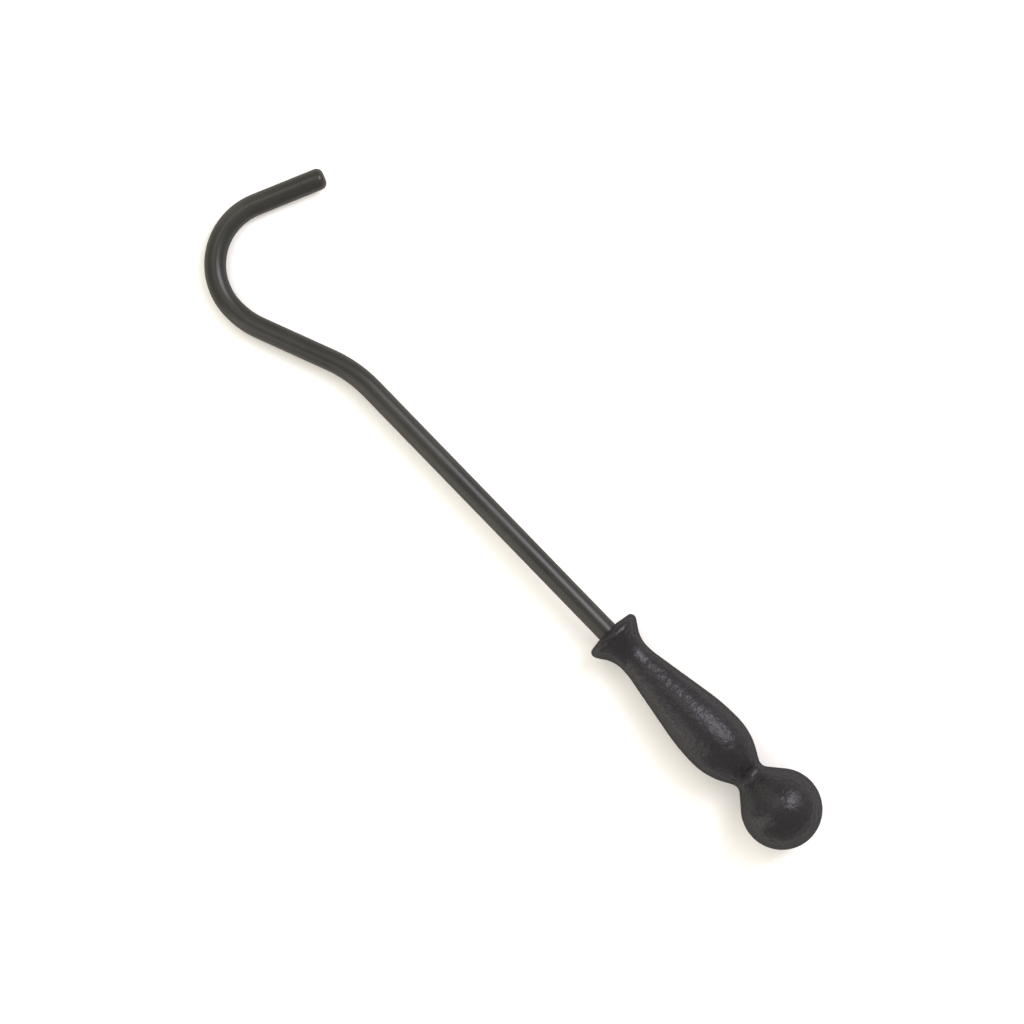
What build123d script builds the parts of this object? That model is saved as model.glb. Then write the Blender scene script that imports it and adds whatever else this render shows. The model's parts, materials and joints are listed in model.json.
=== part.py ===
"""One-hand pull hook: a bent round bar with an open hook, pinned into a cast ball-end handle.

The tool lies at rest on Z = 0, on its ball and on the far side of its hook. +X runs from the
ball to the hook, the hook opens towards -Y, and the origin is under the middle of the tool.
Sizes are in millimetres and degrees.
"""

from build123d import *
from math import asin, atan2, cos, degrees, hypot, radians, sin, sqrt, tan
import os

# ---- The bar, followed from the collar's front face to the hook's tip ----
BAR_RADIUS = 4.7625             # three-eighths of an inch round bar
SHANK_LENGTH = 147.0            # straight from the collar's face to the gooseneck
GOOSENECK_RADIUS = 58.9
GOOSENECK_TURN = 21.4           # to the left, away from the hook's mouth
LINK_LENGTH = 33.9              # straight between the gooseneck and the hook
HOOK_ENTRY_RADIUS = 37.3        # the hook starts with an easier bend
HOOK_ENTRY_TURN = 24.2
HOOK_RADIUS = 28.0
HOOK_TURN = 109.4
TIP_LENGTH = 32.4               # straight past the hook, with its rounded end
TIP_ROUND = 3.0
HIDDEN_LENGTH = 44.0            # of bar inside the handle
HIDDEN_CHAMFER = 0.8
BAR_OFFSET = 0.8                # the bar stands this far to the left of the handle's own axis

# ---- The handle: stations measured back from the collar's mouth, with radii about its axis ----
FACE_RAKE = 9.0                 # the face leans back this much towards its rim
RIM_STATION = 3.05
RIM_RADIUS = 12.68
RIM_FRONT_ROUND = 2.25
RIM_REAR_ROUND = 3.45
WAIST_STATION = 16.2
WAIST_RADIUS = 7.49
WAIST_FRONT_HOLLOW = 14.5
WAIST_REAR_HOLLOW = 36.0
BELLY_STATION = 65.7
BELLY_RADIUS = 14.06
BELLY_FRONT_CROWN = 100.0
BELLY_REAR_CROWN = 31.7
NECK_STATION = 86.9
NECK_RADIUS = 7.4
NECK_HOLLOW = 4.25
BALL_STATION = 107.04
BALL_RADIUS = 17.62

# ---- The socket and the pin that locks the bar in it ----
SOCKET_CLEARANCE = 0.05         # all round the bar
MOUTH_RADIUS = 5.9
MOUTH_ANGLE = 90.0
PIN_STATION = 24.0
PIN_RADIUS = 1.5
PIN_LENGTH = 14.0
PIN_WALL = 0.5
PIN_SLOT = 0.7
PIN_CHAMFER = 0.4
PIN_RECESS = 0.3                # the pin's outer end lies this far under the handle's skin


def common_straight(first_centre, first_radius, second_centre, second_radius, side):
    """Heading in degrees and length of the straight that leaves one arc and crosses to the next.

    The two arcs bend opposite ways. side is 1 where the first one bends to the left.
    """
    along = second_centre[0] - first_centre[0]
    across = second_centre[1] - first_centre[1]
    apart = hypot(along, across)
    reach = first_radius + second_radius
    heading = degrees(atan2(across, along)) + side * degrees(asin(reach / apart))
    return heading, sqrt(apart**2 - reach**2)


def draw_bar_centre(plane):
    """The bar's centre line from the collar's face to the hook's tip, on the given plane."""
    with BuildLine(plane) as centre:
        shank = Line((0, 0), (SHANK_LENGTH, 0))
        gooseneck = JernArc(shank @ 1, shank % 1, GOOSENECK_RADIUS, GOOSENECK_TURN)
        link = Line(gooseneck @ 1, gooseneck @ 1 + (gooseneck % 1) * LINK_LENGTH)
        entry = JernArc(link @ 1, link % 1, HOOK_ENTRY_RADIUS, -HOOK_ENTRY_TURN)
        hook = JernArc(entry @ 1, entry % 1, HOOK_RADIUS, -HOOK_TURN)
        Line(hook @ 1, hook @ 1 + (hook % 1) * TIP_LENGTH)
    return centre.line


# ---- Where the tool lies ----
# Its axis dips towards the hook, so that the ball and the far side of the hook both touch
# the surface, and the middle of its box is over the origin.
flat_centre = draw_bar_centre(Plane.XY)
flat_box = flat_centre.bounding_box()
crown_reach = flat_box.max.X
tip_point = flat_centre @ 1
tip_heading = flat_centre % 1

dip = asin((BALL_RADIUS - BAR_RADIUS) / (crown_reach + BALL_STATION))
face_height = BALL_RADIUS - BALL_STATION * sin(dip)
back_end = -BALL_STATION * cos(dip) - BALL_RADIUS
front_end = crown_reach * cos(dip) + BAR_RADIUS
left_side = flat_box.max.Y + BAR_RADIUS
round_start = tip_point - tip_heading * TIP_ROUND
right_side = round_start.Y - (BAR_RADIUS - TIP_ROUND) * abs(tip_heading.X) - TIP_ROUND

face_centre = Vector(-(back_end + front_end) / 2, -(left_side + right_side) / 2, face_height)
forward = Vector(cos(dip), 0, -sin(dip))
upward = Vector(sin(dip), 0, cos(dip))
tool_plane = Plane(origin=face_centre, x_dir=forward, z_dir=upward)
collar_centre = face_centre - Vector(0, BAR_OFFSET, 0)


def on_axis(station):
    """The point of the bar's axis this far behind the collar's face."""
    return face_centre - forward * station


# ---- hook_rod ----
# The pin crosses the bar and the handle from their underside.
pin_plane = Plane(origin=on_axis(PIN_STATION), x_dir=forward, z_dir=-upward)
bar_end = on_axis(HIDDEN_LENGTH)

with BuildPart() as hook_rod:
    with BuildLine() as bar_path:
        Line(bar_end, face_centre)
        add(draw_bar_centre(tool_plane))
    with BuildSketch(Plane(origin=bar_end, z_dir=forward)):
        Circle(BAR_RADIUS)
    sweep()
    end_faces = hook_rod.faces().filter_by(GeomType.PLANE)
    hidden_end = end_faces.sort_by_distance(bar_end)[0]
    hook_tip = end_faces.sort_by_distance(bar_end)[-1]
    chamfer(hidden_end.edges(), HIDDEN_CHAMFER)
    fillet(hook_tip.edges(), TIP_ROUND)
    with Locations(pin_plane):
        Hole(PIN_RADIUS)
hook_rod.part.label = "hook_rod"

# ---- handle ----
# The outline runs back along the axis as arcs joined by straights that touch both of them.
# Its plane counts stations backwards and radii upwards.
outline_plane = Plane(origin=collar_centre, x_dir=-forward, z_dir=(0, 1, 0))
rim_rear_centre = (RIM_STATION, RIM_RADIUS - RIM_REAR_ROUND)
waist_front_centre = (WAIST_STATION, WAIST_RADIUS + WAIST_FRONT_HOLLOW)
waist_rear_centre = (WAIST_STATION, WAIST_RADIUS + WAIST_REAR_HOLLOW)
belly_front_centre = (BELLY_STATION, BELLY_RADIUS - BELLY_FRONT_CROWN)
belly_rear_centre = (BELLY_STATION, BELLY_RADIUS - BELLY_REAR_CROWN)
neck_centre = (NECK_STATION, NECK_RADIUS + NECK_HOLLOW)
ball_centre = (BALL_STATION, 0)

flare_lean, flare_length = common_straight(
    rim_rear_centre, RIM_REAR_ROUND, waist_front_centre, WAIST_FRONT_HOLLOW, -1
)
grip_lean, grip_length = common_straight(
    waist_rear_centre, WAIST_REAR_HOLLOW, belly_front_centre, BELLY_FRONT_CROWN, 1
)
heel_lean, heel_length = common_straight(
    belly_rear_centre, BELLY_REAR_CROWN, neck_centre, NECK_HOLLOW, -1
)
cup_lean, cup_length = common_straight(neck_centre, NECK_HOLLOW, ball_centre, BALL_RADIUS, 1)

# The raked face meets the front round where that round heads the same way.
face_corner_station = RIM_STATION - RIM_FRONT_ROUND * cos(radians(FACE_RAKE))
face_corner_radius = RIM_RADIUS - RIM_FRONT_ROUND * (1 - sin(radians(FACE_RAKE)))
face_start_station = face_corner_station - face_corner_radius * tan(radians(FACE_RAKE))

# The grip's skin over the pin lies on the straight between the waist and the belly.
grip_start_station = WAIST_STATION + WAIST_REAR_HOLLOW * sin(radians(grip_lean))
grip_start_radius = WAIST_RADIUS + WAIST_REAR_HOLLOW * (1 - cos(radians(grip_lean)))
skin_radius = grip_start_radius + (PIN_STATION - grip_start_station) * tan(radians(grip_lean))
pin_outer_end = sqrt(skin_radius**2 - BAR_OFFSET**2) - PIN_RECESS
pin_inner_end = pin_outer_end - PIN_LENGTH


def straight(previous, length):
    """A straight that carries on from the end of the previous piece of outline."""
    return Line(previous @ 1, previous @ 1 + (previous % 1) * length)


def arc(previous, radius, turn):
    """An arc that carries on from the end of the previous piece of outline."""
    return JernArc(previous @ 1, previous % 1, radius, turn)


with BuildPart() as handle:
    with BuildSketch(outline_plane):
        with BuildLine():
            face = Line((face_start_station, 0), (face_corner_station, face_corner_radius))
            rim_front = arc(face, RIM_FRONT_ROUND, FACE_RAKE - 90)
            rim_rear = arc(rim_front, RIM_REAR_ROUND, flare_lean)
            flare = straight(rim_rear, flare_length)
            waist_front = arc(flare, WAIST_FRONT_HOLLOW, -flare_lean)
            waist_rear = arc(waist_front, WAIST_REAR_HOLLOW, grip_lean)
            grip = straight(waist_rear, grip_length)
            belly_front = arc(grip, BELLY_FRONT_CROWN, -grip_lean)
            belly_rear = arc(belly_front, BELLY_REAR_CROWN, heel_lean)
            heel = straight(belly_rear, heel_length)
            neck = arc(heel, NECK_HOLLOW, cup_lean - heel_lean)
            cup = straight(neck, cup_length)
            arc(cup, BALL_RADIUS, -90 - cup_lean)
            Line((BALL_STATION + BALL_RADIUS, 0), (face_start_station, 0))
        make_face()
    revolve(axis=Axis(collar_centre, forward))
    with Locations(Plane(origin=face_centre, z_dir=forward)):
        CounterSinkHole(
            BAR_RADIUS + SOCKET_CLEARANCE,
            MOUTH_RADIUS,
            depth=HIDDEN_LENGTH,
            counter_sink_angle=MOUTH_ANGLE,
        )
    with Locations(pin_plane.offset(BELLY_RADIUS)):
        Hole(PIN_RADIUS, depth=BELLY_RADIUS - pin_inner_end)
handle.part.label = "handle"

# ---- lock_pin ----
# A slotted spring pin: a rolled sleeve with bevelled ends and one open seam.
with BuildPart() as lock_pin:
    with BuildSketch(pin_plane.offset(pin_inner_end)):
        Circle(PIN_RADIUS)
        Circle(PIN_RADIUS - PIN_WALL, mode=Mode.SUBTRACT)
    extrude(amount=PIN_LENGTH)
    end_rims = lock_pin.edges().filter_by(GeomType.CIRCLE).group_by(SortBy.RADIUS)[-1]
    chamfer(end_rims, PIN_CHAMFER)
    with BuildSketch(pin_plane.offset(pin_inner_end)):
        with Locations((-PIN_RADIUS, 0)):
            Rectangle(2 * PIN_RADIUS, PIN_SLOT)
    extrude(amount=PIN_LENGTH, mode=Mode.SUBTRACT)
lock_pin.part.label = "lock_pin"

os.makedirs("parts", exist_ok=True)
export_step(hook_rod.part, "parts/hook_rod.step")
export_step(handle.part, "parts/handle.step")
export_step(lock_pin.part, "parts/lock_pin.step")
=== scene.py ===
"""Looks of the one-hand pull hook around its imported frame.

A bent round bar ends in an open hook, and is pinned into a cast handle with a flared collar, a
waist, a belly, a neck and a ball end. Each piece is a class that shapes its own mesh and
dresses it in its own finish. Lengths are in metres and angles in degrees.
"""

import json
import logging
from dataclasses import dataclass, field
from enum import Enum
from math import asin, atan2, ceil, cos, degrees, hypot, radians, sin, sqrt, tan
from typing import Any, Union

import bpy
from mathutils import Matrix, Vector


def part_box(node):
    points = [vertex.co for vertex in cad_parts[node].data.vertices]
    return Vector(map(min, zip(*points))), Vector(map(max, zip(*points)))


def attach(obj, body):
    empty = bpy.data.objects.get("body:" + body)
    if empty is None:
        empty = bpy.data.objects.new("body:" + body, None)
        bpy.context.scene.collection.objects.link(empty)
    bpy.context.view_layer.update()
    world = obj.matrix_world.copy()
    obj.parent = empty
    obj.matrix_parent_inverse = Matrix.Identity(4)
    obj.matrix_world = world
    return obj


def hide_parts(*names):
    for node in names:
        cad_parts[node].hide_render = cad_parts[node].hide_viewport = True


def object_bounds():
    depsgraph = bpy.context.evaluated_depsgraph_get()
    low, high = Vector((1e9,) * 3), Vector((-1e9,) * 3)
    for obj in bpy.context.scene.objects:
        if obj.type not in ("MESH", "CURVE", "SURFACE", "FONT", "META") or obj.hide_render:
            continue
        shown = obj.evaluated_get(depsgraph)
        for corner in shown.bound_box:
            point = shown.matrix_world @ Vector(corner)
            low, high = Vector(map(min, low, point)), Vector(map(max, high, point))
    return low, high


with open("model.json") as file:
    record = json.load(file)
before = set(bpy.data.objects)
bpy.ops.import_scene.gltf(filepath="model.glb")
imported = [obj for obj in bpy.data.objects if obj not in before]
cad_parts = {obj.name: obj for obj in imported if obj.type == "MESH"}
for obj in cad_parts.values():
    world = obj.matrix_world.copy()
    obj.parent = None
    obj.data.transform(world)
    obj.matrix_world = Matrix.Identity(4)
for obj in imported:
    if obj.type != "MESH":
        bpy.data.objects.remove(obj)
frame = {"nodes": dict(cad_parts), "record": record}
CAD_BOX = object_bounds()

log = logging.getLogger("pull_hook")

MERGE_DISTANCE = 1e-6
FULL_TURN = 360.0
QUARTER_TURN = 90.0
# The sockets of a Mix node that is set to colours: its share, its two colours and its result.
MIX_SHARE, MIX_FIRST, MIX_SECOND, MIX_RESULT = 0, 6, 7, 2
# How strong each finer layer of a noise is beside the one before it.
NOISE_ROUGHNESS = 0.5
# The part of a noise that is stretched to a full range, for soft patches and for crisper grain.
PATCH_RANGE = (0.35, 0.65)
GRAIN_RANGE = (0.3, 0.7)
# Layer Weight's blend, and the part of its facing value over which a coat loses its gloss.
GRAZING_BLEND = 0.5
GRAZING_RANGE = (0.3, 0.75)
Plan = tuple[float, float]


class Body(Enum):
    """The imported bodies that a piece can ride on."""

    TOOL = "root"


class Slot(Enum):
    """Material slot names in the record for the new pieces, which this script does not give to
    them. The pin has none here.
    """

    BAR = "bar_black"
    CASTING = "cast_black"


# ---------------------------------------------------------------------------------------------
# Where the tool lies
# ---------------------------------------------------------------------------------------------


@dataclass(frozen=True)
class ToolAxis:
    """The straight line through the shank, and the directions square to it."""

    face: Vector
    forward: Vector
    left: Vector
    upward: Vector

    @staticmethod
    def from_frame(ball_station: float) -> "ToolAxis":
        """Finds the handle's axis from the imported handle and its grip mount.

        Args:
            ball_station: distance from the collar's mouth back to the ball's centre.

        Returns:
            The handle's axis, with its face point at the front of the collar.
        """
        mounts = {mount["name"]: mount for mount in frame["record"]["mounts"]}
        forward = -Vector(mounts["grip"]["axis"]).normalized()
        low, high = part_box("handle")
        ball_radius = high.z / 2
        ball = Vector((low.x + ball_radius, (low.y + high.y) / 2, ball_radius))
        left = Vector((0.0, 1.0, 0.0))
        return ToolAxis(ball + forward * ball_station, forward, left, forward.cross(left))

    def moved_left(self, distance: float) -> "ToolAxis":
        """A parallel axis this far to the left."""
        face = self.face + self.left * distance
        return ToolAxis(face, self.forward, self.left, self.upward)

    def at(self, forward: float = 0.0, left: float = 0.0, upward: float = 0.0) -> Vector:
        """The point this far from the middle of the collar's face."""
        return self.face + self.forward * forward + self.left * left + self.upward * upward


# ---------------------------------------------------------------------------------------------
# Shaping
# ---------------------------------------------------------------------------------------------


class Bench:
    """One piece being shaped in edit mode, from a primitive to its finished mesh."""

    def __init__(self, name: str) -> None:
        """Names the piece and leaves nothing else selected."""
        self.name = name
        if bpy.context.object and bpy.context.object.mode != "OBJECT":
            bpy.ops.object.mode_set(mode="OBJECT")
        bpy.ops.object.select_all(action="DESELECT")

    def _open(self) -> None:
        """Names the new primitive and opens it in edit mode, all selected."""
        self.piece = bpy.context.object
        self.piece.name = self.name
        self.piece.data.name = self.name
        bpy.ops.object.transform_apply(location=True, rotation=True, scale=True)
        bpy.ops.object.mode_set(mode="EDIT")
        bpy.ops.mesh.select_all(action="SELECT")

    def lay_disc(self, centre: Vector, facing: Vector, radius: float, sides: int) -> None:
        """Starts the piece from a filled disc that faces the given way."""
        bpy.ops.mesh.primitive_circle_add(
            vertices=sides,
            radius=radius,
            fill_type="NGON",
            location=centre,
            rotation=facing.to_track_quat("Z", "Y").to_euler(),
        )
        self._open()

    def set_point(self, place: Vector) -> None:
        """Starts the piece from a single point, the end of an outline."""
        bpy.ops.mesh.primitive_plane_add(size=MERGE_DISTANCE, location=place)
        self._open()
        bpy.ops.mesh.merge(type="CENTER")

    def push(self, offset: Vector, steps: int = 1) -> None:
        """Extrudes the selection by an offset, in equal steps."""
        for _ in range(steps):
            bpy.ops.mesh.extrude_region_move(
                TRANSFORM_OT_translate={"value": tuple(offset / steps)}
            )

    def swing(self, centre: Vector, axis: Vector, turn: float, steps: int) -> None:
        """Spins the selection about an axis, right-handed, leaving its far end selected."""
        bpy.ops.mesh.spin(
            steps=steps,
            angle=-radians(turn),
            center=tuple(centre),
            axis=tuple(axis),
            use_auto_merge=False,
        )

    def scale_end(self, centre: Vector, ratio: float) -> None:
        """Scales the selected end about a point."""
        bpy.ops.transform.resize(value=(ratio, ratio, ratio), center_override=tuple(centre))

    def lathe(self, centre: Vector, axis: Vector, sides: int) -> None:
        """Turns the whole outline once round an axis."""
        bpy.ops.mesh.select_all(action="SELECT")
        self.swing(centre, axis, FULL_TURN, sides)

    def close_up(self) -> bpy.types.Object:
        """Merges what coincides, turns the faces outwards and leaves edit mode.

        Returns:
            The shaped object.
        """
        bpy.ops.mesh.select_all(action="SELECT")
        bpy.ops.mesh.remove_doubles(threshold=MERGE_DISTANCE)
        bpy.ops.mesh.normals_make_consistent(inside=False)
        bpy.ops.object.mode_set(mode="OBJECT")
        return self.piece


class Walk:
    """Leads the end of a piece through a plane, along straights and round bends."""

    def __init__(self, bench: Bench, origin: Vector, along: Vector, across: Vector) -> None:
        """Sets out the plane.

        Args:
            bench: the piece whose selected end is led.
            origin: the plane's zero.
            along: the plane's first direction.
            across: the plane's second direction, square to the first.
        """
        self.bench = bench
        self.origin = origin
        self.along = along
        self.across = across
        self.place: Plan = (0.0, 0.0)
        self.heading = 0.0

    def world(self, plan: Plan) -> Vector:
        """The point in space of a point in the plane."""
        return self.origin + self.along * plan[0] + self.across * plan[1]

    def direction(self) -> Vector:
        """The way the walk is heading, in space."""
        return self.along * cos(radians(self.heading)) + self.across * sin(radians(self.heading))

    def straight(self, length: float, spacing: float) -> None:
        """Goes straight on, with a ring about every spacing."""
        self.bench.push(self.direction() * length, max(1, ceil(length / spacing)))
        self.place = (
            self.place[0] + length * cos(radians(self.heading)),
            self.place[1] + length * sin(radians(self.heading)),
        )

    def line_to(self, plan: Plan, spacing: float) -> None:
        """Turns on the spot and goes straight to a point of the plane."""
        along, across = plan[0] - self.place[0], plan[1] - self.place[1]
        self.heading = degrees(atan2(across, along))
        self.straight(hypot(along, across), spacing)

    def bend(self, radius: float, turn: float, spacing: float) -> None:
        """Goes round an arc, to the left where turn is above zero."""
        side = 1 if turn > 0 else -1
        facing = radians(self.heading + side * QUARTER_TURN)
        centre = (
            self.place[0] + radius * cos(facing),
            self.place[1] + radius * sin(facing),
        )
        steps = max(2, ceil(radius * abs(radians(turn)) / spacing))
        self.bench.swing(self.world(centre), self.along.cross(self.across), turn, steps)
        self.heading += turn
        leaving = radians(self.heading - side * QUARTER_TURN)
        self.place = (
            centre[0] + radius * cos(leaving),
            centre[1] + radius * sin(leaving),
        )


def common_straight(
    first: Plan, first_radius: float, second: Plan, second_radius: float, side: int
) -> tuple[float, float]:
    """The straight that leaves one arc and crosses to the next, which bends the other way.

    Args:
        first: centre of the arc that is left.
        first_radius: its radius.
        second: centre of the arc that is joined.
        second_radius: its radius.
        side: 1 where the first arc bends to the left, and -1 to the right.

    Returns:
        The straight's heading in degrees and its length.
    """
    along, across = second[0] - first[0], second[1] - first[1]
    apart = hypot(along, across)
    reach = first_radius + second_radius
    heading = degrees(atan2(across, along)) + side * degrees(asin(reach / apart))
    return heading, sqrt(apart**2 - reach**2)


def apply_modifier(piece: bpy.types.Object, kind: str, settings: dict[str, Any]) -> None:
    """Adds a modifier of one kind to a piece, sets it and applies it."""
    bpy.ops.object.select_all(action="DESELECT")
    piece.select_set(True)
    bpy.context.view_layer.objects.active = piece
    modifier = piece.modifiers.new(kind.title(), kind)
    for name, value in settings.items():
        setattr(modifier, name, value)
    bpy.ops.object.modifier_apply(modifier=modifier.name)


def cut_away(drill: bpy.types.Object, pieces: list[bpy.types.Object]) -> None:
    """Cuts a drill's shape out of the pieces, and throws the drill away."""
    for piece in pieces:
        apply_modifier(
            piece, "BOOLEAN", {"operation": "DIFFERENCE", "object": drill, "solver": "EXACT"}
        )
    bpy.data.objects.remove(drill)


def smooth(piece: bpy.types.Object, angle: float) -> None:
    """Shades a piece smooth, except across edges sharper than the angle."""
    bpy.ops.object.select_all(action="DESELECT")
    piece.select_set(True)
    bpy.context.view_layer.objects.active = piece
    bpy.ops.object.shade_smooth_by_angle(angle=radians(angle))


# ---------------------------------------------------------------------------------------------
# Finishes
# ---------------------------------------------------------------------------------------------


class Wire:
    """An output socket of a finish's node tree that takes part in arithmetic."""

    def __init__(self, tree: "FinishTree", socket: bpy.types.NodeSocket) -> None:
        """Holds the socket and the tree that it belongs to."""
        self.tree = tree
        self.socket = socket

    def _join(self, operation: str, first: "Value", second: "Value") -> "Wire":
        """The result of a Math node on two values."""
        return self.tree.node("ShaderNodeMath", {"operation": operation}, {0: first, 1: second})

    def __add__(self, other: "Value") -> "Wire":
        """self + other"""
        return self._join("ADD", self, other)

    def __radd__(self, other: "Value") -> "Wire":
        """other + self"""
        return self._join("ADD", other, self)

    def __mul__(self, other: "Value") -> "Wire":
        """self * other"""
        return self._join("MULTIPLY", self, other)

    def __rmul__(self, other: "Value") -> "Wire":
        """other * self"""
        return self._join("MULTIPLY", other, self)


Value = Union[Wire, float]


class FinishTree:
    """The node tree of one material."""

    def __init__(self, name: str) -> None:
        """Makes a material with an empty node tree."""
        self.material = bpy.data.materials.new(name)
        self.material.use_nodes = True
        self.material.node_tree.nodes.clear()

    def node(
        self,
        kind: str,
        settings: dict[str, Any],
        inputs: dict[Union[str, int], Any],
        output: Union[str, int] = 0,
    ) -> Wire:
        """Adds a node.

        Args:
            kind: the node's type.
            settings: its properties, such as a Math node's operation, which are set first.
            inputs: a value or a wire for each socket that is set.
            output: the output socket to take.

        Returns:
            The chosen output.
        """
        made = self.material.node_tree.nodes.new(kind)
        for name, value in settings.items():
            setattr(made, name, value)
        for name, value in inputs.items():
            if isinstance(value, Wire):
                self.material.node_tree.links.new(value.socket, made.inputs[name])
            else:
                made.inputs[name].default_value = value
        return Wire(self, made.outputs[output] if made.outputs else None)

    def place(self) -> Wire:
        """The surface's own coordinates, in metres."""
        return self.node("ShaderNodeTexCoord", {}, {}, "Object")

    def noise(self, grain: float, detail: float) -> Wire:
        """Soft noise about 0.5.

        Args:
            grain: size of its largest features.
            detail: how many finer layers it has.

        Returns:
            The noise as a value.
        """
        inputs = {
            "Vector": self.place(),
            "Scale": 1 / grain,
            "Detail": detail,
            "Roughness": NOISE_ROUGHNESS,
        }
        return self.node("ShaderNodeTexNoise", {"noise_dimensions": "3D"}, inputs, "Fac")

    def spread(self, wire: Wire, low: float, high: float) -> Wire:
        """Stretches the part of a value between low and high to 0 to 1."""
        return self.node(
            "ShaderNodeMapRange",
            {"clamp": True},
            {"Value": wire, "From Min": low, "From Max": high, "To Min": 0.0, "To Max": 1.0},
        )

    def grazing(self) -> Wire:
        """How far the surface turns from the eye: 0 where it faces it, 1 near the rim."""
        facing = self.node("ShaderNodeLayerWeight", {}, {"Blend": GRAZING_BLEND}, "Facing")
        return self.spread(facing, *GRAZING_RANGE)

    def blend(self, share: Value, first: Any, second: Any) -> Wire:
        """Mixes two colours, by the share of the second."""
        return self.node(
            "ShaderNodeMix",
            {"data_type": "RGBA"},
            {MIX_SHARE: share, MIX_FIRST: first, MIX_SECOND: second},
            MIX_RESULT,
        )

    def bump(self, height: Wire, strength: float, distance: float) -> Wire:
        """The surface's normal over a height between 0 and 1."""
        return self.node(
            "ShaderNodeBump", {}, {"Strength": strength, "Distance": distance, "Height": height}
        )

    def surface(self, inputs: dict[str, Any]) -> bpy.types.Material:
        """Ends the tree in a Principled shader with these sockets set."""
        shader = self.node("ShaderNodeBsdfPrincipled", {}, inputs)
        self.node("ShaderNodeOutputMaterial", {}, {"Surface": shader})
        return self.material


Colour = tuple[float, float, float, float]


@dataclass(frozen=True)
class SatinCoat:
    """The smooth satin black coat on the bar, less glossy where it is seen at a slant."""

    thick: Colour = (0.0180, 0.0176, 0.0150, 1.0)
    thin: Colour = (0.0260, 0.0254, 0.0215, 1.0)
    ior: float = 1.45
    roughness: float = 0.31
    roughness_play: float = 0.07
    edge_roughness: float = 0.25
    patch: float = 0.022
    peel: float = 0.0011
    peel_height: float = 0.00002
    peel_strength: float = 0.5

    def make(self) -> bpy.types.Material:
        """Builds the material: cloudy patches of thinner coat, and a faint orange peel."""
        tree = FinishTree("satin_black_coat")
        patches = tree.spread(tree.noise(self.patch, detail=3.0), *PATCH_RANGE)
        peel = tree.noise(self.peel, detail=2.0)
        return tree.surface(
            {
                "Base Color": tree.blend(patches, self.thick, self.thin),
                "Roughness": (patches + peel) * (self.roughness_play / 2)
                + tree.grazing() * self.edge_roughness
                + self.roughness,
                "IOR": self.ior,
                "Normal": tree.bump(peel, self.peel_strength, self.peel_height),
            }
        )


@dataclass(frozen=True)
class CastCoat:
    """The grainy black coat over the casting's skin, less glossy where it is seen at a slant."""

    # The darker colour is used for random dark patches and as painted shade in the grain's pits.
    dark_patch_and_pit_shade: Colour = (0.0065, 0.0058, 0.0078, 1.0)
    crest: Colour = (0.0130, 0.0118, 0.0150, 1.0)
    ior: float = 1.45
    roughness: float = 0.31
    roughness_play: float = 0.08
    edge_roughness: float = 0.45
    patch: float = 0.016
    grain: float = 0.0021
    grain_height: float = 0.0002
    grain_strength: float = 0.8
    # Share of the colour that follows the grain as painted pit shade; the rest is random patches.
    pit_shade_share: float = 0.6
    sand: float = 0.0007
    sand_height: float = 0.00005

    def make(self) -> bpy.types.Material:
        """Builds the material: sand-cast grain in two sizes, random patches of tone, and painted
        shade that darkens the grain's pits.
        """
        tree = FinishTree("cast_black_coat")
        patches = tree.spread(tree.noise(self.patch, detail=3.0), *PATCH_RANGE)
        grain = tree.spread(tree.noise(self.grain, detail=2.0), *GRAIN_RANGE)
        sand = tree.noise(self.sand, detail=1.0)
        height = grain + sand * (self.sand_height / self.grain_height)
        # Painted shade: the colour darkens where the grain is low, mixed with random patches of
        # tone.
        patches_and_pit_shade = grain * self.pit_shade_share + patches * (1 - self.pit_shade_share)
        return tree.surface(
            {
                "Base Color": tree.blend(patches_and_pit_shade, self.dark_patch_and_pit_shade, self.crest),
                "Roughness": (patches + sand) * (self.roughness_play / 2)
                + tree.grazing() * self.edge_roughness
                + self.roughness,
                "IOR": self.ior,
                "Normal": tree.bump(height, self.grain_strength, self.grain_height),
            }
        )


@dataclass(frozen=True)
class OiledSteel:
    """The dark oiled spring steel of the pin."""

    steel: Colour = (0.16, 0.155, 0.15, 1.0)
    oil: Colour = (0.07, 0.065, 0.06, 1.0)
    roughness: float = 0.34
    roughness_play: float = 0.15
    patch: float = 0.0012

    def make(self) -> bpy.types.Material:
        """Builds the material: bare steel under uneven oil."""
        tree = FinishTree("oiled_spring_steel")
        patches = tree.spread(tree.noise(self.patch, detail=3.0), *GRAIN_RANGE)
        return tree.surface(
            {
                "Base Color": tree.blend(patches, self.steel, self.oil),
                "Metallic": 1.0,
                "Roughness": patches * self.roughness_play + self.roughness,
            }
        )


@dataclass(frozen=True)
class PaleBoard:
    """The matt white board of the floor."""

    white: Colour = (0.90, 0.895, 0.88, 1.0)
    shade: Colour = (0.885, 0.875, 0.855, 1.0)
    roughness: float = 0.9
    specular: float = 0.1
    patch: float = 0.25

    def make(self) -> bpy.types.Material:
        """Builds the material: a matt white with barely any variation."""
        tree = FinishTree("pale_board")
        patches = tree.noise(self.patch, detail=2.0)
        return tree.surface(
            {
                "Base Color": tree.blend(patches, self.white, self.shade),
                "Roughness": self.roughness,
                "Specular IOR Level": self.specular,
            }
        )


# ---------------------------------------------------------------------------------------------
# The tool's pieces
# ---------------------------------------------------------------------------------------------


def settle(piece: bpy.types.Object, node: str, finish: Any) -> None:
    """Dresses a new piece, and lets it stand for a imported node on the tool's body."""
    piece.data.materials.clear()
    piece.data.materials.append(finish.make())
    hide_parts(node)
    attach(piece, Body.TOOL.value)
    log.info("%s: %d faces for %s", piece.name, len(piece.data.polygons), node)


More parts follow.
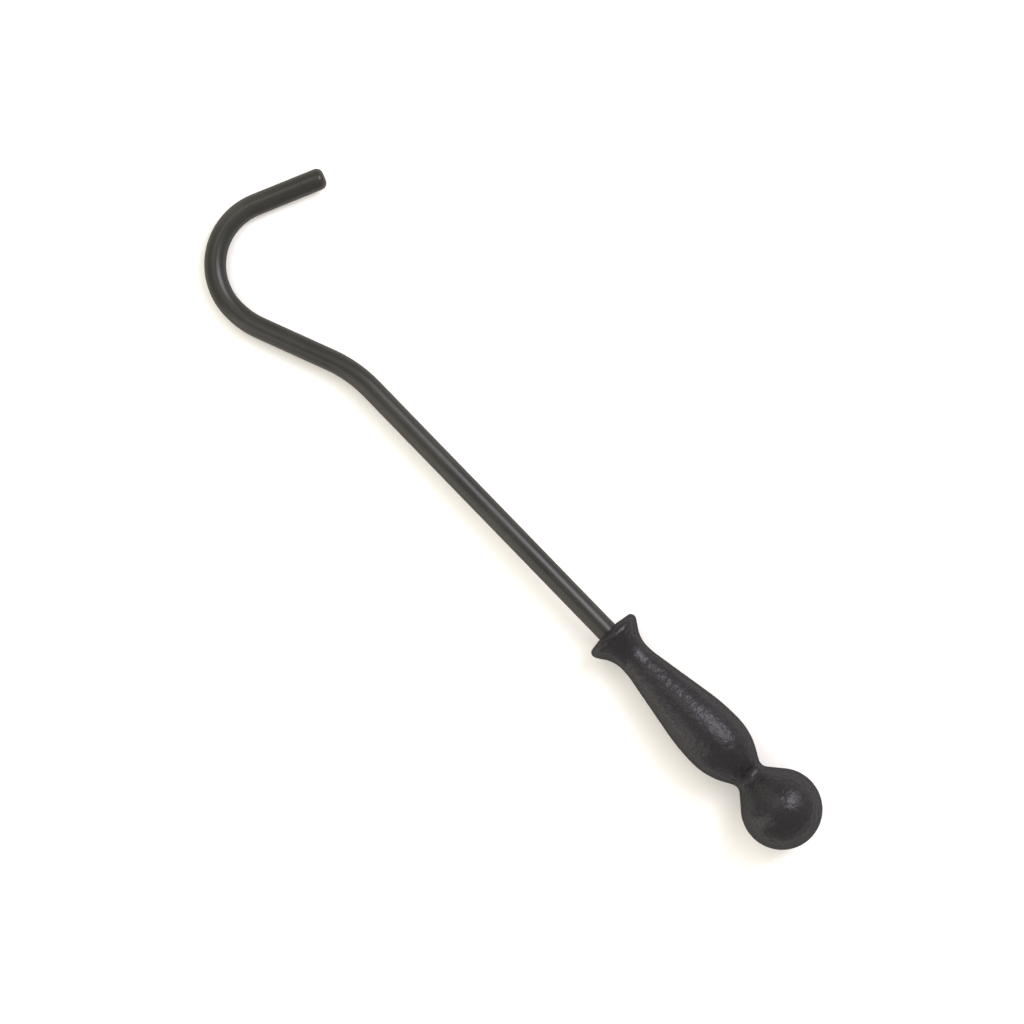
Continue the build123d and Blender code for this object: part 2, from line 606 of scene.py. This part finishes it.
@dataclass(frozen=True)
class PinHole:
    """The blind hole that crosses the handle and the bar from their underside."""

    station: float = 0.024
    radius: float = 0.0015
    start: float = 0.014
    bottom: float = 0.00605
    sides: int = 48

    def drill(self, pieces: list[bpy.types.Object], axis: ToolAxis) -> None:
        """Cuts the hole out of the pieces, from below to just past the axis.

        Args:
            pieces: what the hole goes through.
            axis: the bar's axis.
        """
        bench = Bench("pin_drill")
        bench.lay_disc(axis.at(-self.station, 0, -self.start), axis.upward, self.radius, self.sides)
        bench.push(axis.upward * (self.start + self.bottom))
        cut_away(bench.close_up(), pieces)


@dataclass(frozen=True)
class HookBar:
    """The round bar: hidden length, shank, gooseneck, link, hook and tip."""

    radius: float = 0.0047625
    hidden: float = 0.044
    hidden_chamfer: float = 0.0008
    shank: float = 0.147
    gooseneck_radius: float = 0.0589
    gooseneck_turn: float = 21.4
    link: float = 0.0339
    entry_radius: float = 0.0373
    entry_turn: float = 24.2
    hook_radius: float = 0.028
    hook_turn: float = 109.4
    tip: float = 0.0324
    tip_round: float = 0.003
    tip_rings: int = 12
    edge_round: float = 0.00025
    edge_steps: int = 2
    smooth_below: float = 40.0
    sides: int = 96
    spacing: float = 0.001
    long_spacing: float = 0.004
    finish: SatinCoat = field(default_factory=SatinCoat)

    def shape(self, axis: ToolAxis) -> bpy.types.Object:
        """Bends the bar from its hidden end to its tip.

        Args:
            axis: the bar's axis.

        Returns:
            The closed mesh of the bar.
        """
        start = axis.at(-self.hidden)
        narrow = self.radius - self.hidden_chamfer
        bench = Bench("hook_bar")
        bench.lay_disc(start, axis.forward, narrow, self.sides)
        walk = Walk(bench, start, axis.forward, axis.left)
        walk.straight(self.hidden_chamfer, self.spacing)
        bench.scale_end(walk.world(walk.place), self.radius / narrow)
        walk.straight(self.hidden - self.hidden_chamfer, self.long_spacing)
        walk.straight(self.shank, self.long_spacing)
        walk.bend(self.gooseneck_radius, self.gooseneck_turn, self.spacing)
        walk.straight(self.link, self.long_spacing)
        walk.bend(self.entry_radius, -self.entry_turn, self.spacing)
        walk.bend(self.hook_radius, -self.hook_turn, self.spacing)
        walk.straight(self.tip - self.tip_round, self.long_spacing)
        self._round_tip(bench, walk)
        return bench.close_up()

    def _round_tip(self, bench: Bench, walk: Walk) -> None:
        """Closes the bar's end in a quarter round, ring by ring."""
        reach, radius = 0.0, self.radius
        for ring in range(1, self.tip_rings + 1):
            turn = radians(QUARTER_TURN * ring / self.tip_rings)
            next_reach = self.tip_round * sin(turn)
            next_radius = self.radius - self.tip_round * (1 - cos(turn))
            walk.straight(next_reach - reach, self.spacing)
            bench.scale_end(walk.world(walk.place), next_radius / radius)
            reach, radius = next_reach, next_radius

    def round_edges(self, piece: bpy.types.Object) -> None:
        """Breaks the sharp edges of the hidden end's chamfer."""
        apply_modifier(
            piece,
            "BEVEL",
            {"width": self.edge_round, "segments": self.edge_steps, "limit_method": "ANGLE"},
        )


@dataclass(frozen=True)
class CastHandle:
    """The handle: one casting with a collar, waist, belly, neck and ball, and a socket.

    Stations are measured back from the collar's face, and radii from the handle's own axis.
    """

    face_rake: float = 9.0
    rim: Plan = (0.00305, 0.01268)
    rim_front_round: float = 0.00225
    rim_rear_round: float = 0.00345
    waist: Plan = (0.0162, 0.00749)
    waist_front_hollow: float = 0.0145
    waist_rear_hollow: float = 0.036
    belly: Plan = (0.0657, 0.01406)
    belly_front_crown: float = 0.100
    belly_rear_crown: float = 0.0317
    neck: Plan = (0.0869, 0.0074)
    neck_hollow: float = 0.00425
    ball: float = 0.10704
    ball_radius: float = 0.01762
    bar_offset: float = 0.0008
    socket_depth: float = 0.044
    socket_radius: float = 0.0048125
    mouth_radius: float = 0.0059
    sides: int = 224
    spacing: float = 0.00045
    socket_sides: int = 96
    grain: float = 0.0014
    grain_depth: float = 0.00007
    wave: float = 0.011
    wave_depth: float = 0.00008
    finer_layers: int = 2
    smooth_below: float = 50.0
    finish: CastCoat = field(default_factory=CastCoat)

    def shape(self, axis: ToolAxis) -> bpy.types.Object:
        """Draws the outline from the middle of the face to the ball's end, and turns it round.

        Args:
            axis: the handle's own axis.

        Returns:
            The closed mesh of the casting, before its grain and its socket.
        """
        rake = radians(self.face_rake)
        corner = (
            self.rim[0] - self.rim_front_round * cos(rake),
            self.rim[1] - self.rim_front_round * (1 - sin(rake)),
        )
        middle = corner[0] - corner[1] * tan(rake)
        bench = Bench("cast_handle")
        bench.set_point(axis.at(-middle))
        walk = Walk(bench, axis.at(), -axis.forward, axis.upward)
        walk.place = (middle, 0.0)
        walk.line_to(corner, self.spacing)
        self._draw_skin(walk)
        bench.lathe(axis.at(), axis.forward, self.sides)
        return bench.close_up()

    def _draw_skin(self, walk: Walk) -> None:
        """Draws the outside, as arcs joined by straights that touch both of them."""
        rim_rear = (self.rim[0], self.rim[1] - self.rim_rear_round)
        waist_front = (self.waist[0], self.waist[1] + self.waist_front_hollow)
        waist_rear = (self.waist[0], self.waist[1] + self.waist_rear_hollow)
        belly_front = (self.belly[0], self.belly[1] - self.belly_front_crown)
        belly_rear = (self.belly[0], self.belly[1] - self.belly_rear_crown)
        neck = (self.neck[0], self.neck[1] + self.neck_hollow)
        flare_lean, flare = common_straight(
            rim_rear, self.rim_rear_round, waist_front, self.waist_front_hollow, -1
        )
        grip_lean, grip = common_straight(
            waist_rear, self.waist_rear_hollow, belly_front, self.belly_front_crown, 1
        )
        heel_lean, heel = common_straight(
            belly_rear, self.belly_rear_crown, neck, self.neck_hollow, -1
        )
        cup_lean, cup = common_straight(
            neck, self.neck_hollow, (self.ball, 0.0), self.ball_radius, 1
        )
        walk.heading = QUARTER_TURN - self.face_rake
        walk.bend(self.rim_front_round, self.face_rake - QUARTER_TURN, self.spacing / 2)
        walk.bend(self.rim_rear_round, flare_lean, self.spacing)
        walk.straight(flare, self.spacing)
        walk.bend(self.waist_front_hollow, -flare_lean, self.spacing)
        walk.bend(self.waist_rear_hollow, grip_lean, self.spacing)
        walk.straight(grip, self.spacing)
        walk.bend(self.belly_front_crown, -grip_lean, self.spacing)
        walk.bend(self.belly_rear_crown, heel_lean, self.spacing)
        walk.straight(heel, self.spacing)
        walk.bend(self.neck_hollow, cup_lean - heel_lean, self.spacing)
        walk.straight(cup, self.spacing)
        walk.bend(self.ball_radius, -QUARTER_TURN - cup_lean, self.spacing)

    def roughen(self, piece: bpy.types.Object) -> None:
        """Sinks the skin by a broad unevenness and a fine grain, never above the true shape."""
        for name, size, depth in (
            ("casting_wave", self.wave, self.wave_depth),
            ("casting_grain", self.grain, self.grain_depth),
        ):
            pattern = bpy.data.textures.new(name, "CLOUDS")
            pattern.noise_scale = size
            pattern.noise_depth = self.finer_layers
            apply_modifier(
                piece,
                "DISPLACE",
                {
                    "texture": pattern,
                    "texture_coords": "LOCAL",
                    "strength": depth,
                    "mid_level": 1.0,
                },
            )

    def bore(self, piece: bpy.types.Object, axis: ToolAxis) -> None:
        """Cuts the bar's blind socket and the lead-in at its mouth.

        Args:
            piece: the casting.
            axis: the bar's axis.
        """
        lead_in = self.mouth_radius - self.socket_radius
        bench = Bench("socket_drill")
        start = axis.at(-self.socket_depth)
        bench.lay_disc(start, axis.forward, self.socket_radius, self.socket_sides)
        bench.push(axis.forward * (self.socket_depth - lead_in))
        bench.push(axis.forward * lead_in)
        bench.scale_end(axis.at(), self.mouth_radius / self.socket_radius)
        bench.push(axis.forward * self.mouth_radius)
        cut_away(bench.close_up(), [piece])


@dataclass(frozen=True)
class LockPin:
    """The slotted spring pin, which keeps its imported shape."""

    finish: OiledSteel = field(default_factory=OiledSteel)

    def dress(self) -> None:
        """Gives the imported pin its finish."""
        node = frame["nodes"]["lock_pin"]
        node.data.materials.clear()
        node.data.materials.append(self.finish.make())
        log.info("lock_pin: packed shape, oiled spring steel")


# ---------------------------------------------------------------------------------------------
# The studio
# ---------------------------------------------------------------------------------------------


@dataclass(frozen=True)
class Softbox:
    """A square studio light that faces the tool."""

    name: str
    towards: tuple[float, float, float]
    side: float
    watts: float
    colour: tuple[float, float, float]

    def hang(self, aim: Vector, distance: float) -> None:
        """Adds the light at a distance from the aim, facing it."""
        away = Vector(self.towards).normalized()
        bpy.ops.object.light_add(
            type="AREA",
            location=aim + away * distance,
            rotation=away.to_track_quat("Z", "Y").to_euler(),
        )
        light = bpy.context.object
        light.name = self.name
        light.data.shape = "SQUARE"
        light.data.size = self.side
        light.data.energy = self.watts
        light.data.color = self.colour


@dataclass(frozen=True)
class Studio:
    """The pale floor, the lights and the camera."""

    floor_side: float = 12.0
    floor_drop: float = 0.00002
    sky: Colour = (1.0, 0.968, 0.890, 1.0)
    sky_strength: float = 0.88
    lights_aim: float = 0.01
    lights_distance: float = 1.4
    view_transform: str = "Standard"
    view_look: str = "Medium High Contrast"
    camera_lens: float = 100.0
    camera_height: float = 1.2444
    camera_turn: float = -134.144
    camera_aim: Plan = (0.00488, 0.00682)
    softboxes: tuple[Softbox, ...] = (
        Softbox("key_top", (-0.03, -0.42, 0.907), 0.5, 2.2, (0.86, 0.80, 1.0)),
        Softbox("key", (-0.04, -0.62, 0.784), 0.5, 6.3, (0.98, 0.96, 1.0)),
        Softbox("key_low", (-0.08, -0.80, 0.595), 0.6, 2.3, (0.80, 0.76, 1.0)),
        Softbox("fill", (0.08, 0.77, 0.633), 0.6, 2.1, (0.97, 0.92, 1.0)),
        Softbox("fill_low", (0.10, 0.98, 0.17), 0.4, 1.7, (1.0, 0.90, 0.76)),
        Softbox("hook_end_top", (0.5, 0.0, 0.866), 0.6, 2.3, (1.0, 0.97, 0.86)),
        Softbox("hook_end_low", (0.94, 0.0, 0.342), 0.6, 1.4, (1.0, 0.91, 0.78)),
    )
    board: PaleBoard = field(default_factory=PaleBoard)

    def lay_floor(self) -> None:
        """Lays the matt white floor just under the tool."""
        bpy.ops.object.select_all(action="DESELECT")
        bpy.ops.mesh.primitive_plane_add(
            size=self.floor_side, location=(0.0, 0.0, -self.floor_drop)
        )
        floor = bpy.context.object
        floor.name = "pale_floor"
        bpy.ops.object.transform_apply(location=True, rotation=True, scale=True)
        floor.data.materials.append(self.board.make())

    def light(self) -> None:
        """Lights the tool with an even warm sky and the softboxes, and sets the view's tones."""
        world = bpy.data.worlds.new("studio_sky")
        world.use_nodes = True
        sky = world.node_tree.nodes["Background"]
        sky.inputs["Color"].default_value = self.sky
        sky.inputs["Strength"].default_value = self.sky_strength
        bpy.context.scene.world = world
        for softbox in self.softboxes:
            softbox.hang(Vector((0.0, 0.0, self.lights_aim)), self.lights_distance)
        bpy.context.scene.view_settings.view_transform = self.view_transform
        bpy.context.scene.view_settings.look = self.view_look

    def set_camera(self) -> None:
        """Looks straight down on the tool, hook to the upper left and ball to the lower right."""
        middle = (CAD_BOX[0][0] + CAD_BOX[1][0]) / 2, (CAD_BOX[0][1] + CAD_BOX[1][1]) / 2
        bpy.ops.object.camera_add(
            location=(
                middle[0] + self.camera_aim[0],
                middle[1] + self.camera_aim[1],
                self.camera_height,
            ),
            rotation=(0.0, 0.0, radians(self.camera_turn)),
        )
        camera = bpy.context.object
        camera.name = "studio_camera"
        camera.data.lens = self.camera_lens
        bpy.context.scene.camera = camera


def main() -> None:
    """Builds the tool's pieces in order, then the studio around them."""
    logging.basicConfig(level=logging.INFO, format="%(name)s: %(message)s")
    casting = CastHandle()
    hook = HookBar()
    handle_axis = ToolAxis.from_frame(casting.ball)
    bar_axis = handle_axis.moved_left(casting.bar_offset)

    bar = hook.shape(bar_axis)
    hook.round_edges(bar)
    handle = casting.shape(handle_axis)
    casting.roughen(handle)
    casting.bore(handle, bar_axis)
    PinHole().drill([bar, handle], bar_axis)
    smooth(bar, hook.smooth_below)
    smooth(handle, casting.smooth_below)
    settle(bar, "hook_rod", hook.finish)
    settle(handle, "handle", casting.finish)
    LockPin().dress()

    studio = Studio()
    studio.lay_floor()
    studio.light()
    studio.set_camera()


if __name__ == "__main__":
    main()
